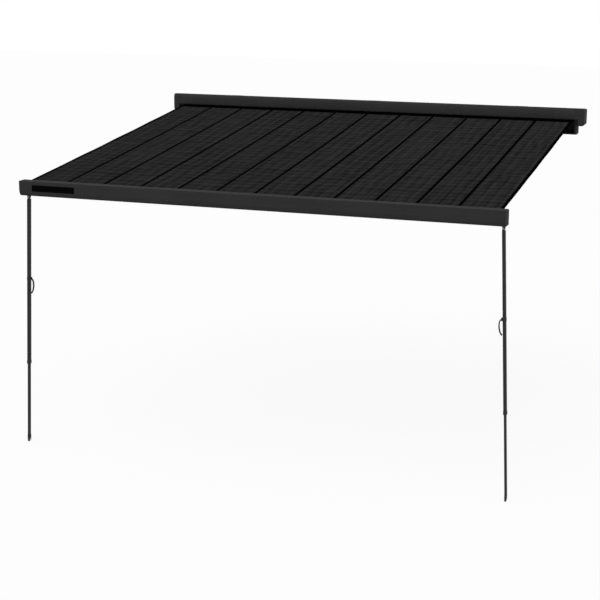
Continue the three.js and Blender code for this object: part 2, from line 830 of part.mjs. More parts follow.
function buildArm(root, railGroup, name, side) {
  const base = slopeFrame(root, side * armPivotX, shoulderY, shoulderZ);
  piece(base, `shoulder_pin_${name}`, armPin(), steel);
  forearmLink(upperArmLink(base, name, side), name, side);
  const bracket = groupAt(root, side * armPivotX, shoulderY, shoulderZ);
  piece(bracket, `shoulder_bracket_${name}`, shoulderBracket(), castAluminium);
  const front = groupAt(railGroup, side * armPivotX, arm.pivotY, arm.pivotZ);
  piece(front, `rail_arm_bracket_${name}`, railArmBracket(), castAluminium);
  const frontPin = piece(front, `rail_arm_pin_${name}`, armPin(), steel);
  frontPin.rotation.x = slope;
}

// Front rail

function frontCurve(shape, inset) {
  const bottom = -rail.height + inset;
  const end = rail.bottomFront + inset / 2;
  shape.bezierCurveTo(inset, -rail.flat - rail.curveLead, end - rail.curveTail, bottom, end, bottom);
}

function kederSlot(shape) {
  const along = new THREE.Vector2(Math.cos(fabricSlope), Math.sin(fabricSlope));
  const half = keder.mouth / 2;
  const opening = Math.asin(half / keder.slotRadius);
  const wallAt = (y, lift) => keder.z + (y - keder.y) * along.y / along.x + lift / along.x;
  shape.lineTo(rail.lipY, wallAt(rail.lipY, half));
  shape.absarc(keder.y, keder.z, keder.slotRadius, fabricSlope + opening, fabricSlope - opening, false);
  shape.lineTo(rail.depth, wallAt(rail.depth, -half));
}

function railSection() {
  const shape = new THREE.Shape();
  shape.moveTo(0, 0);
  shape.lineTo(0, -rail.flat);
  frontCurve(shape, 0);
  shape.lineTo(channelFront, -rail.height);
  shape.lineTo(channelFront, rail.channelTop);
  shape.lineTo(channelRear, rail.channelTop);
  shape.lineTo(channelRear, -rail.height);
  shape.lineTo(rail.depth, -rail.height);
  const reversed = new THREE.Shape();
  reversed.moveTo(0, 0);
  reversed.lineTo(rail.topFlat, 0);
  reversed.quadraticCurveTo(rail.lipY, 0, rail.lipY, -rail.lipDrop);
  kederSlot(reversed);
  const rest = reversed.getPoints(curveSides).reverse();
  rest.forEach((point) => shape.lineTo(point.x, point.y));
  return shape;
}

function railChamber() {
  const hole = new THREE.Path();
  const wall = rail.wall;
  hole.moveTo(wall, -wall);
  hole.lineTo(wall, -rail.flat);
  frontCurve(hole, wall);
  hole.lineTo(channelFront - wall, -rail.height + wall);
  hole.lineTo(channelFront - wall, rail.channelTop + wall);
  hole.lineTo(rail.depth - wall, rail.channelTop + wall);
  hole.lineTo(rail.depth - wall, rail.chamberFloor);
  hole.lineTo(rail.chamberRear - wall, rail.chamberFloor);
  hole.lineTo(rail.chamberRear - wall, -2 * wall);
  return hole;
}

function railProfile() {
  const shape = railSection();
  shape.holes.push(railChamber());
  const half = railHalf - rail.capThickness - gap;
  return prismX(shape, -half, half, curveSides);
}

function railEndCap(side) {
  const shape = new THREE.Shape();
  shape.moveTo(0, 0);
  shape.lineTo(0, -rail.flat);
  frontCurve(shape, 0);
  shape.lineTo(rail.depth + rail.capTab, -rail.height);
  shape.lineTo(rail.depth + rail.capTab, -rail.height + rail.capTab * 2);
  shape.lineTo(rail.depth, -rail.height + rail.capTab * 3);
  shape.lineTo(rail.depth, keder.z);
  shape.lineTo(rail.lipY, -rail.lipDrop);
  shape.quadraticCurveTo(rail.lipY, 0, rail.topFlat, 0);
  const outer = railHalf;
  return prismX(shape, ...ordered(side * (outer - rail.capThickness), side * outer), curveSides);
}

function badgePlate() {
  return prismY(roundedRectangle(badge.width, badge.height, badge.corner), -gap - badge.thickness, -gap)
    .translate(badge.inset - railHalf, 0, badge.middleZ);
}

function kederRod() {
  return rodX(keder.slotRadius - gap, -windingHalf, windingHalf, keder.y, keder.z);
}

// Legs

function legHinge(side) {
  const face = rail.channelHalf - gap;
  const inboard = -side * legMount.inboard;
  const outboard = side * legMount.outboard;
  const across = ordered(inboard, outboard);
  const top = rail.channelTop - gap - legMount.pivotZ;
  const roof = block(across, [-face, face], [top - legMount.plate, top]);
  const plates = [-1, 1].map((end) => block(
    across, ordered(end * face, end * (face - legMount.plate)), [-legMount.plateDrop, top],
  ));
  const bore = rodY(legMount.trunnion + gap, -face - overrun, face + overrun, 0, 0);
  return cut(join(roof, ...plates), bore);
}

function legHeadShape() {
  const eye = rodY(legMount.eyeRadius, -legMount.eyeHalf, legMount.eyeHalf, 0, 0);
  const pinHalf = rail.channelHalf - 2 * gap;
  const upperPin = rodY(legMount.trunnion, -pinHalf, pinHalf, 0, 0);
  const neck = block(
    halves(legHead.neckWidth), halves(legHead.neckDepth), [-legHead.neckEnd, 0],
  );
  const tongue = block(
    halves(legHead.tongueWidth), halves(legHead.tongueDepth),
    [-swingPivot, -legHead.neckEnd + sink],
  );
  const tip = rodX(legHead.tongueDepth / 2, ...halves(legHead.tongueWidth), 0, -swingPivot);
  const lowerPin = rodX(legHead.trunnion, ...halves(legTube.width), 0, -swingPivot);
  return join(eye, upperPin, neck, tongue, tip, lowerPin);
}

function legOuterTube() {
  const section = roundedTube(legTube.width, legTube.depth, legTube.corner, legTube.wall);
  const tube = prismZ(section, -legTube.end, -tubeStart);
  const holes = rodX(legHead.trunnion + gap, -legTube.width, legTube.width, 0, -swingPivot);
  const notch = block(
    halves(legTube.width - 2 * legTube.wall), [0, legTube.depth], [-tubeStart - legTube.notch, 0],
  );
  return cut(tube, holes, notch);
}

// The section of what goes round a leg tube at a distance
function sleeve(tube, distance, rounding) {
  return roundedRectangle(tube.width + 2 * distance, tube.depth + 2 * distance, tube.corner + rounding);
}

function legCollar() {
  const outer = sleeve(legTube, collar.wall + gap, collar.wall);
  const bottom = -legTube.end - collar.floor - gap;
  const ledge = bottom + collar.floor;
  const top = bottom + collar.height;
  const upper = prismZ(sleeve(legTube, gap, gap), ledge, top + overrun);
  const lower = prismZ(sleeve(innerTube, gap, gap), bottom - overrun, ledge + overrun);
  return cut(prismZ(outer, bottom, top), upper, lower);
}

const bandHalfX = legTube.width / 2 + gap + band.wall;
const leverX = bandHalfX + lever.pivotReach;
const leverZ = -band.start - lever.pivotDown;

function leverBand(inward) {
  const ring = prismZ(sleeve(legTube, gap + band.wall, band.wall), -bandEnd, -band.start);
  const earInner = lever.width / 2 + gap;
  const earOuter = earInner + band.earWidth;
  const ears = [-1, 1].map((end) => block(
    ordered(0, inward * band.earReach), ordered(end * earInner, end * earOuter), [-bandEnd, -band.start],
  ));
  const bore = prismZ(sleeve(legTube, gap, gap), -bandEnd - overrun, -band.start + overrun);
  const pinHole = rodY(lever.trunnion + gap, -legTube.depth, legTube.depth, inward * leverX, leverZ);
  return cut(join(ring, ...ears), bore, pinHole);
}

// An open loop: out from its hub, down beside the tube and back towards it
function leverLoop(inward) {
  const spine = new THREE.CubicBezierCurve(
    new THREE.Vector2(0, 0), new THREE.Vector2(lever.bow, lever.hub),
    new THREE.Vector2(lever.bow + lever.hub / 2, -lever.length * lever.bellyShare),
    new THREE.Vector2(0, -lever.length),
  );
  const steps = curveSides + 4;
  const edge = (offset) => Array.from({ length: steps + 1 }, (_, i) => {
    const share = i / steps;
    const point = spine.getPoint(share);
    const tangent = spine.getTangent(share);
    return [inward * (point.x - tangent.y * offset), point.y + tangent.x * offset];
  });
  const half = lever.thickness / 2;
  const strap = outline([...edge(half), ...edge(-half).reverse()]);
  const loop = prismY(strap, -lever.width / 2, lever.width / 2);
  const hub = rodY(lever.hub - gap, -lever.width / 2, lever.width / 2, 0, 0);
  const pin = rodY(
    lever.trunnion, -lever.width / 2 - band.earWidth - gap, lever.width / 2 + band.earWidth + gap, 0, 0,
  );
  return join(loop, hub, pin);
}

function legInnerTube() {
  const section = roundedTube(innerTube.width, innerTube.depth, innerTube.corner, innerTube.wall);
  const holes = rodY(foot.trunnion + gap, -innerTube.depth, innerTube.depth, 0, -foot.pivot);
  return cut(prismZ(section, -innerEnd, -innerStart), holes);
}

function legFoot() {
  const earInner = innerTube.depth / 2 + gap;
  const earOuter = earInner + foot.ear;
  const ears = [-1, 1].flatMap((end) => {
    const across = ordered(end * earInner, end * earOuter);
    const pin = ordered(end * (earInner - innerTube.wall), end * (earInner + sink));
    return [
      block([-foot.earHalf, foot.earHalf], across, [-foot.baseTop - sink, 0]),
      rodY(foot.earHalf, ...across, 0, 0),
      rodY(foot.trunnion, ...pin, 0, 0),
    ];
  });
  const across = [-earOuter, earOuter];
  const base = block([-foot.baseHalf, foot.baseHalf], across, [-foot.soleTop - sink, -foot.baseTop]);
  const plan = roundedRectangle(2 * foot.soleHalf, 2 * earOuter, foot.corner);
  return join(base, prismZ(plan, -foot.soleBottom, -foot.soleTop), ...ears);
}

function buildLeg(railGroup, name, side) {
  const place = groupAt(railGroup, side * legPivotX, channelY, legMount.pivotZ);
  piece(place, `leg_hinge_${name}`, legHinge(side), castAluminium);
  const leg = groupAt(place, 0, 0, 0);
  leg.rotation.y = -side * rad(angles.legSplay);
  piece(leg, `leg_head_${name}`, legHeadShape(), blackPlastic);
  piece(leg, `leg_outer_tube_${name}`, legOuterTube(), blackAluminium);
  piece(leg, `leg_collar_${name}`, legCollar(), blackPlastic);
  piece(leg, `lever_band_${name}`, leverBand(-side), blackPlastic);
  const loop = piece(leg, `lock_lever_${name}`, leverLoop(-side), blackPlastic);
  loop.position.set(-side * leverX, 0, leverZ);
  piece(leg, `leg_inner_tube_${name}`, legInnerTube(), blackAluminium);
  const ankle = groupAt(leg, 0, 0, -foot.pivot);
  ankle.rotation.y = side * rad(angles.legSplay);
  piece(ankle, `leg_foot_${name}`, legFoot(), blackPlastic);
}

// Canopy

// One sheet with a thinner seam between each two of its panels, drawn across the awning
function canopySheet() {
  const half = windingHalf;
  const thick = canopy.thickness / 2;
  const thin = canopy.seamThickness / 2;
  const pitch = 2 * (half - canopy.hem) / canopy.panels;
  const upper = [];
  for (let seam = 1; seam < canopy.panels; seam += 1) {
    const [left, right] = halves(canopy.seam).map((x) => x + (seam - canopy.panels / 2) * pitch);
    upper.push([left, thick], [left, thin], [right, thin], [right, thick]);
  }
  const lower = upper.map(([x, z]) => [x, -z]).reverse();
  const ends = [[-half, -thick], [-half, thick]];
  const section = outline([...ends, ...upper, [half, thick], [half, -thick], ...lower]);
  return prismY(section, keder.slotRadius, fabricLength);
}

function buildCanopy(railGroup) {
  const sheet = piece(railGroup, 'canopy', canopySheet(), fabric);
  sheet.position.set(0, keder.y, keder.z);
  sheet.rotation.x = fabricSlope;
}

// The whole awning

function buildCassette(root) {
  piece(root, 'back_profile', backProfile(), blackAluminium);
  piece(root, 'cover_profile', coverProfile(), blackAluminium);
  piece(root, 'cover_seal', coverSeal(), rubber);
  sides.forEach(([name, side]) => piece(root, `end_cap_${name}`, endCapShell(side), blackAluminium));
  [['left', -1], ['middle', 0], ['right', 1]].forEach(([name, place]) => {
    const bracket = piece(root, `wall_bracket_${name}`, wallBracketShape(), castAluminium);
    bracket.position.x = place * wallBracket.spacing;
  });
  piece(root, 'roller_tube', rollerTube(), rollerAluminium);
  piece(root, 'fabric_winding', fabricWinding(), fabric);
  piece(root, 'roller_drive_wheel', driveWheel(), castAluminium);
  piece(root, 'roller_idler_plug', idlerPlug(), blackPlastic);
  piece(root, 'roller_bearing', idlerBearing(), castAluminium);
  piece(root, 'winch_housing', winchHousing(), castAluminium);
  piece(root, 'winch_shaft', winchShaft(), steel);
}

function buildRail(root) {
  const group = groupAt(root, railPlace.x, railPlace.y, railPlace.z);
  piece(group, 'rail_profile', railProfile(), blackAluminium);
  sides.forEach(([name, side]) => piece(group, `rail_end_cap_${name}`, railEndCap(side), blackPlastic));
  piece(group, 'badge_plate', badgePlate(), badgePlastic);
  piece(group, 'keder_rod', kederRod(), blackPlastic);
  return group;
}

const awning = new THREE.Group();
buildCassette(awning);
const railGroup = buildRail(awning);
sides.forEach(([name, side]) => buildArm(awning, railGroup, name, side));
sides.forEach(([name, side]) => buildLeg(railGroup, name, side));
buildCanopy(railGroup);

export default awning;
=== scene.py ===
import math

import bpy
import numpy as np
from mathutils import Matrix, Vector


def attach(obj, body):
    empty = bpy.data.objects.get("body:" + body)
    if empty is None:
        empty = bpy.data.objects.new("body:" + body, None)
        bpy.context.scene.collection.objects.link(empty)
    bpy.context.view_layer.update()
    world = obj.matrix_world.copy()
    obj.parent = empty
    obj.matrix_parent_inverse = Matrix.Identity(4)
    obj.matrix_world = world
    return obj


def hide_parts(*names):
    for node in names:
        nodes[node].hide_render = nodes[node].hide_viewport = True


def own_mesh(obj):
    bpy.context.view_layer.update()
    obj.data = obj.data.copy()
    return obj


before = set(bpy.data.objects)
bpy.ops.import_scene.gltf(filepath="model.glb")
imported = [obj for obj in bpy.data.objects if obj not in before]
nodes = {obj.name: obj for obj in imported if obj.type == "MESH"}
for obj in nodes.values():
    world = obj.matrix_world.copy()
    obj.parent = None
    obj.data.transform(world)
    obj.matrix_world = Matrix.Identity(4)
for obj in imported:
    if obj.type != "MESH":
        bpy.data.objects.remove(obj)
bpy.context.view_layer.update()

# Places taken over from the CAD, in metres

fabric_half = 1.909
fabric_start = 0.0035  # from the keder to the cloth's front edge
seam_pitch = 0.3157
keder = Vector((0.0, -3.21, -0.3136))
axle = Vector((0.0, -0.070, 0.0578))
winding_radius = 0.042
end_cap_face = 2.003
end_cap_screws = ((-0.150, 0.052), (-0.045, 0.088), (-0.050, -0.010))
rail_cap_face = 1.946
rail_cap_screws = ((-3.292, -0.318), (-3.286, -0.392), (-3.206, -0.336))
arm_bracket_x, arm_bracket_y, arm_bracket_z = 1.79, -3.1777, -0.380
leg_x, leg_y, leg_z = 1.915, -3.209, -0.398  # the fold pivot, where a leg's own frame begins
neck_z, collar_z, ankle_z = -0.043, -1.419, -2.052
splay = math.radians(2.5)
sides = (("left", -1), ("right", 1))

# The cloth's own measures, in metres

seam_width = 0.0245
hem_width = 0.030
# Painted shade: a black band along the rail edge of the cloth stands in for the shadowed gap
# behind the rail's top, stitched like a hem
rail_shade_band = 0.036
# Black leader cloth at the roller end, which is also painted shade under the cassette lip
leader_shade_width = 0.187
cloth_thickness = 0.0012
wound_thickness = 0.0004
sheet_gap = 0.0014  # from the winding to the middle of the cloth that leaves it


# Node materials

def grey(tone):
    return (tone, tone, tone, 1.0)


def emptied(owner):
    """The node tree of a material or a world, with nothing in it."""
    owner.use_nodes = True
    owner.node_tree.nodes.clear()
    return owner.node_tree


class Paint:
    """A node material with one Principled shader and short calls for the nodes before it."""

    def __init__(self, name, roughness, specular, metallic=0.0):
        self.material = bpy.data.materials.new(name)
        self.tree = emptied(self.material)
        output = self.node("OutputMaterial")
        self.shader = self.node("BsdfPrincipled")
        self.link(self.shader.outputs[0], output.inputs["Surface"])
        self.put(self.shader, "Roughness", roughness)
        self.put(self.shader, "Specular IOR Level", specular)
        self.put(self.shader, "Metallic", metallic)

    def link(self, a, b):
        self.tree.links.new(a, b)

    def put(self, node, socket, value):
        target = node.inputs[socket]
        if isinstance(value, bpy.types.NodeSocket):
            self.link(value, target)
        else:
            target.default_value = value

    def node(self, kind, **settings):
        made = self.tree.nodes.new("ShaderNode" + kind)
        for key, value in settings.items():
            setattr(made, key, value)
        return made

    def math(self, operation, a, b=0.0, clamp=False):
        made = self.node("Math", operation=operation, use_clamp=clamp)
        self.put(made, 0, a)
        self.put(made, 1, b)
        return made.outputs[0]

    def add(self, a, b):
        return self.math("ADD", a, b)

    def times(self, a, b, clamp=False):
        return self.math("MULTIPLY", a, b, clamp)

    def larger(self, a, b):
        return self.math("MAXIMUM", a, b)

    def zigzag(self, value, half_pitch):
        return self.math("PINGPONG", value, half_pitch)

    def wave(self, value, pitch, shift=None):
        """A sine along a measure in metres, one wave for each pitch."""
        turn = self.times(value, 2 * math.pi / pitch)
        return self.math("SINE", turn if shift is None else self.add(turn, shift))

    def place(self, scale=(1, 1, 1)):
        """Where a point of the piece is, in metres times the scale."""
        coordinate = self.node("TexCoord")
        mapping = self.node("Mapping")
        self.link(coordinate.outputs["Object"], mapping.inputs["Vector"])
        mapping.inputs["Scale"].default_value = scale
        return mapping.outputs[0]

    def noise(self, scale, where, detail=2.0, roughness=0.5):
        made = self.node("TexNoise")
        self.put(made, "Vector", where)
        self.put(made, "Scale", scale)
        self.put(made, "Detail", detail)
        self.put(made, "Roughness", roughness)
        return made.outputs[0]

    def cells(self, scale, where):
        made = self.node("TexVoronoi")
        self.put(made, "Vector", where)
        self.put(made, "Scale", scale)
        return made.outputs[0]

    def range(self, value, low, high, to_low, to_high, kind="LINEAR"):
        made = self.node("MapRange", interpolation_type=kind)
        for socket, number in enumerate((value, low, high, to_low, to_high)):
            self.put(made, socket, number)
        return made.outputs[0]

    def ramp(self, value, start, end):
        return self.range(value, start, end, 0.0, 1.0)

    def ease(self, value, start, end, top=1.0):
        """From zero to the top between start and end, with soft shoulders."""
        return self.range(value, start, end, 0.0, top, "SMOOTHSTEP")

    def spread(self, noise, low, high):
        """A noise's usual values, 0.3 to 0.7, spread from low to high."""
        return self.range(noise, 0.3, 0.7, low, high)

    def mix(self, share, a, b):
        made = self.node("Mix", data_type="RGBA")
        self.put(made, 0, share)
        self.put(made, 6, a)
        self.put(made, 7, b)
        return made.outputs[2]

    def shade(self, tone, factor):
        """A grey made lighter or darker by a factor, which is one where nothing changes."""
        made = self.node("VectorMath", operation="SCALE")
        self.put(made, 0, grey(tone)[:3])
        self.put(made, 3, factor)
        return made.outputs[0]

    def color(self, value):
        self.put(self.shader, "Base Color", value)

    def roughness(self, value):
        self.put(self.shader, "Roughness", value)

    def bump(self, height, strength, distance, under=None):
        made = self.node("Bump")
        self.put(made, "Height", height)
        self.put(made, "Strength", strength)
        self.put(made, "Distance", distance)
        if under is not None:
            self.link(under, made.inputs["Normal"])
        return made.outputs[0]

    def normal(self, value):
        self.link(value, self.shader.inputs["Normal"])

    def edges(self, radius):
        """Near one on outer edges, where a finish wears first."""
        bevel = self.node("Bevel", samples=4)
        self.put(bevel, "Radius", radius)
        plain = self.node("NewGeometry")
        dot = self.node("VectorMath", operation="DOT_PRODUCT")
        self.link(bevel.outputs[0], dot.inputs[0])
        self.link(plain.outputs["Normal"], dot.inputs[1])
        flat, sharp = 0.999, 0.93
        return self.ramp(dot.outputs["Value"], flat, sharp)


def coated(name, tone, rough, specular, grain=0.35, drawn=False):
    """Powder-coated aluminium: a fine pebbled grain, cloudy sheen, dust and rubbed edges."""
    p = Paint(name, rough, specular)
    where = p.place()
    cloud = p.noise(2.3, where, 3.0)
    fine = p.noise(1400, where, 2.0, 0.6)
    dust = p.ease(p.noise(34, where, 6.0, 0.7), 0.52, 0.74)
    factor = p.add(p.spread(cloud, 0.93, 1.06), p.spread(fine, -0.07, 0.07))
    if drawn:
        streak = p.noise(60, p.place((0.02, 1.0, 1.0)), 4.0, 0.65)
        factor = p.add(factor, p.range(streak, 0.35, 0.65, -0.05, 0.05))
    color = p.mix(p.times(dust, 0.025), p.shade(tone, factor), grey(0.20))
    rubbed = p.ease(p.noise(120, where, 4.0, 0.6), 0.5, 0.66)
    worn = p.times(p.times(p.edges(0.0012), rubbed), 0.5)
    p.color(p.mix(worn, color, grey(0.13)))
    p.roughness(p.add(p.spread(cloud, rough - 0.04, rough + 0.05), p.times(dust, 0.08)))
    grainy = p.bump(p.cells(900, where), grain, 0.00012)
    p.normal(p.bump(p.noise(260, where), 0.10, 0.0004, grainy))
    return p.material


def bare_metal(name, tone, rough, drawn):
    """Mill-finish or plated metal with drawing lines, stains and rubbed edges."""
    p = Paint(name, rough, 0.5, metallic=1.0)
    where = p.place()
    lined = p.noise(900, p.place(drawn), 3.0, 0.6)
    stain = p.noise(14, where, 5.0, 0.6)
    factor = p.add(p.spread(stain, 0.86, 1.04), p.spread(lined, -0.06, 0.06))
    bright = grey(min(1.0, tone * 1.35))
    p.color(p.mix(p.times(p.edges(0.0006), 0.5), p.shade(tone, factor), bright))
    p.roughness(p.spread(stain, rough + 0.1, rough - 0.05))
    p.normal(p.bump(lined, 0.25, 0.0001))
    return p.material


def cast_metal(name, tone, rough):
    """Painted casting: sand-like skin, pits and a softened edge."""
    p = Paint(name, rough, 0.3, metallic=0.35)
    where = p.place()
    cloud = p.noise(9, where, 4.0, 0.6)
    pit = p.cells(520, where)
    factor = p.add(p.spread(cloud, 0.88, 1.10), p.range(pit, 0.0, 0.5, -0.05, 0.04))
    worn = p.times(p.edges(0.0014), p.ease(p.noise(90, where, 4.0), 0.45, 0.65, top=0.6))
    p.color(p.mix(worn, p.shade(tone, factor), (0.24, 0.24, 0.235, 1.0)))
    p.roughness(p.spread(cloud, rough - 0.06, rough + 0.08))
    skin = p.bump(p.noise(700, where, 3.0, 0.7), 0.5, 0.0003)
    p.normal(p.bump(pit, 0.3, 0.0003, skin))
    return p.material


def moulded(name, tone, rough, specular):
    """Moulded plastic with a leathery erosion grain, flow marks and scuffs."""
    p = Paint(name, rough, specular)
    where = p.place()
    flow = p.noise(7, where, 3.0, 0.6)
    scuff = p.ease(p.noise(48, p.place((1.0, 1.0, 0.3)), 7.0, 0.75), 0.55, 0.72)
    color = p.shade(tone, p.spread(flow, 0.90, 1.10))
    worn = p.times(p.add(p.edges(0.001), p.times(scuff, 0.4)), 0.3, clamp=True)
    p.color(p.mix(worn, color, (0.075, 0.075, 0.074, 1.0)))
    p.roughness(p.add(p.spread(flow, rough - 0.05, rough + 0.05), p.times(scuff, 0.12)))
    p.normal(p.bump(p.cells(750, where), 0.55, 0.0002))
    return p.material


def gloss(name, tone):
    """Polished black plate: faint haze, hairline scratches and dust in them."""
    p = Paint(name, 0.16, 0.012)
    where = p.place()
    haze = p.noise(16, where, 4.0, 0.6)
    hair = p.ease(p.noise(420, p.place((0.05, 1.0, 1.0)), 5.0, 0.7), 0.58, 0.70)
    p.color(p.mix(p.times(hair, 0.04), grey(tone), grey(0.03)))
    p.roughness(p.add(p.spread(haze, 0.11, 0.24), p.times(hair, 0.15)))
    p.normal(p.bump(hair, 0.05, 0.0001))
    return p.material


def rubber(name, tone):
    """Matt seal rubber with a pale bloom."""
    p = Paint(name, 0.75, 0.15)
    where = p.place()
    bloom = p.noise(22, where, 5.0, 0.6)
    p.color(p.mix(p.range(bloom, 0.45, 0.7, 0.0, 0.25), grey(tone), grey(0.035)))
    p.roughness(p.spread(bloom, 0.66, 0.84))
    p.normal(p.bump(p.noise(1100, where), 0.25, 0.0002))
    return p.material


def canopy_cloth(name, length):
    """Coated woven canopy: UVs are metres across the awning and along the cloth."""
    p = Paint(name, 0.9, 0.0)
    split = p.node("SeparateXYZ")
    p.link(p.node("TexCoord").outputs["UV"], split.inputs[0])
    u, v = split.outputs[0], split.outputs[1]
    thread = 0.0013
    stitch_half = 0.0023

    def flat(scale_u, scale_v):
        made = p.node("CombineXYZ")
        p.put(made, 0, p.times(u, scale_u))
        p.put(made, 1, p.times(v, scale_v))
        return made.outputs[0]

    def line(value, pitch, half):
        return p.ease(p.zigzag(value, pitch / 2), half, half * 0.6)

    def thread_row(value, edge, low, high):
        """One between two distances from an edge."""
        low, high, blur = edge + low, edge + high, 0.0002
        rise = p.ramp(value, low - blur, low + blur)
        return p.times(rise, p.range(value, high - blur, high + blur, 1.0, 0.0))

    def dashes(value):
        return p.ramp(p.zigzag(value, stitch_half), 0.0004, 0.0007)

    # Seams and side hems are black tape. The black band at the rail is painted shade for the gap
    # behind the rail's top. The black leader at the roller is leader cloth and is also painted
    # shade under the cassette lip
    where = flat(1.0, 1.0)
    away = p.zigzag(u, seam_pitch / 2)
    across = p.math("ABSOLUTE", u)
    seam_edge, hem_edge = seam_width / 2, fabric_half - hem_width
    front_edge, leader_shade_edge = fabric_start + rail_shade_band, length - leader_shade_width
    seam = p.ramp(away, seam_edge + 0.0004, seam_edge - 0.0004)
    hem = p.ramp(across, hem_edge - 0.0006, hem_edge + 0.0006)
    # Painted shade: the black leader at the roller end is leader cloth, and it also stands in for
    # the shade under the cassette lip
    leader_shade = p.ramp(v, leader_shade_edge, leader_shade_edge + 0.001)
    # Painted shade: the black band along the rail edge, for the shadowed gap behind the rail's top
    front = p.ramp(v, front_edge + 0.0006, front_edge - 0.0006)
    dark = p.larger(p.larger(seam, hem), p.larger(leader_shade, front))

    # The panels: thread by thread, then coarser unevenness, a faint grid and a tone for each panel
    weave = p.times(p.wave(u, thread), p.wave(v, thread))
    grid = p.larger(line(v, 0.0948, 0.0016), line(u, seam_pitch / 4, 0.0014))
    cloud = p.noise(1.7, where, 3.0, 0.55)
    slub = p.noise(70, where, 4.0, 0.7)
    streak = p.noise(34, flat(1.0, 0.055), 3.0, 0.6)
    rows = p.noise(11, flat(0.25, 1.0), 3.0, 0.65)
    patch = p.noise(15, flat(1.0, 0.45), 2.0, 0.6)
    drift = p.spread(p.noise(2.6, where), -1.6, 1.6)
    picks = p.wave(v, 0.1002, drift)
    wide_picks = p.wave(v, 0.2004, drift)
    ends = p.wave(u, seam_pitch / 3.75, drift)
    fine_ends = p.wave(u, seam_pitch / 7.5)
    own = p.node("TexWhiteNoise", noise_dimensions="1D")
    p.link(p.math("FLOOR", p.math("DIVIDE", u, seam_pitch)), own.inputs["W"])
    factor = p.add(p.spread(cloud, 0.94, 1.06), p.range(own.outputs[0], 0.0, 1.0, -0.025, 0.025))
    for value, amount in ((slub, 0.12), (streak, 0.20), (rows, 0.12), (patch, 0.10)):
        factor = p.add(factor, p.spread(value, -amount, amount))
    for value, amount in (
        (picks, 0.15), (wide_picks, 0.05), (ends, 0.13), (fine_ends, 0.10), (weave, 0.12),
    ):
        factor = p.add(factor, p.times(value, amount))
    factor = p.math("SUBTRACT", factor, p.times(grid, 0.42))
    panel = p.shade(0.0192, factor)

    # The tape and its two rows of stitches, or one along a hem. The same black colours the painted
    # shade at the rail and the roller
    tape_and_shade_color = p.shade(0.0006, p.spread(slub, 0.8, 1.2))
    seam_row = thread_row(away, seam_edge, -0.0034, -0.0028)
    hem_row = thread_row(across, hem_edge, 0.0026, 0.0034)
    front_row = thread_row(v, front_edge, -0.0036, -0.0028)
    stitch = p.times(p.larger(seam_row, hem_row), dashes(v))
    stitch = p.larger(stitch, p.times(front_row, dashes(u)))
    tape_and_shade_color = p.mix(p.times(stitch, 0.8), tape_and_shade_color, grey(0.022))

    p.color(p.mix(dark, panel, tape_and_shade_color))
    p.roughness(p.spread(cloud, 0.84, 0.95))
    woven = p.bump(weave, 0.35, 0.0002)
    raised = p.bump(p.add(p.times(grid, -0.4), stitch), 0.5, 0.0004, woven)
    p.normal(p.bump(slub, 0.12, 0.0006, raised))
    return p.material


# Meshes

def mesh_piece(name, verts, faces, material=None, smooth=True, uvs=None):
    mesh = bpy.data.meshes.new(name)
    mesh.from_pydata([tuple(v) for v in verts], [], [tuple(f) for f in faces])
    mesh.update()
    if smooth:
        mesh.shade_smooth()
    if uvs is not None:
        layer = mesh.uv_layers.new(name="UVMap")
        for loop in mesh.loops:
            layer.data[loop.index].uv = uvs[loop.vertex_index]
    piece = bpy.data.objects.new(name, mesh)
    bpy.context.scene.collection.objects.link(piece)
    if material:
        mesh.materials.append(material)
    return piece


def ring_faces(rows, size):
    """Quads between closed rings of points, row by row."""
    faces = []
    for row in range(rows - 1):
        for k in range(size):
            a, b = row * size + k, row * size + (k + 1) % size
            faces.append((a, b, b + size, a + size))
    return faces


def sheet_faces(rows, size):
    """Quads over an open grid of points, row by row."""
    starts = (row * size + column for row in range(rows - 1) for column in range(size - 1))
    return [(a, a + 1, a + size + 1, a + size) for a in starts]


def lofted(rings):
    """Points and faces through rings of equally many points, closed at both ends."""
    size = len(rings[0])
    verts = [Vector(point) for ring in rings for point in ring]
    last = (len(rings) - 1) * size
    ends = [tuple(range(size - 1, -1, -1)), tuple(range(last, last + size))]
    return verts, ring_faces(len(rings), size) + ends


def turned(profile, place, segments, corners=()):
    """Points and faces of a lathed form: profile rows are radius and height, and place is a
    matrix with +Z as the form's axis. Rows named in corners are six-sided, as a socket is."""
    rings = []
    for row, (radius, height) in enumerate(profile):
        ring = []
        for k in range(segments):
            angle = 2 * math.pi * k / segments
            r = radius
            if row in corners:
                r = radius * math.cos(math.pi / 6) / math.cos(angle % (math.pi / 3) - math.pi / 6)
            ring.append(place @ Vector((r * math.cos(angle), r * math.sin(angle), height)))
        rings.append(ring)
    return lofted(rings)


def joined(name, parts, material, smooth=True):
    verts, faces = [], []
    for more_verts, more_faces in parts:
        start = len(verts)
        verts += more_verts
        faces += [tuple(start + i for i in face) for face in more_faces]
    return mesh_piece(name, verts, faces, material, smooth)


def facing(point, direction, roll=0.0):
    turn = Vector(direction).normalized().to_track_quat("Z", "Y").to_matrix().to_4x4()
    return Matrix.Translation(point) @ turn @ Matrix.Rotation(roll, 4, "Z")


def screw(point, direction, radius, height, roll):
    """A rounded head with a hexagonal socket, its seat sunk a hair into what it holds."""
    r, h = radius, height
    profile = [
        (0.94 * r, -0.0004), (r, 0.0), (r, 0.35 * h), (0.96 * r, 0.62 * h), (0.84 * r, 0.86 * h),
        (0.66 * r, h), (0.50 * r, h), (0.46 * r, 0.93 * h), (0.45 * r, 0.3 * h),
        (0.05 * r, 0.22 * h),
    ]
    return turned(profile, facing(point, direction, roll), 24, corners=(6, 7, 8))


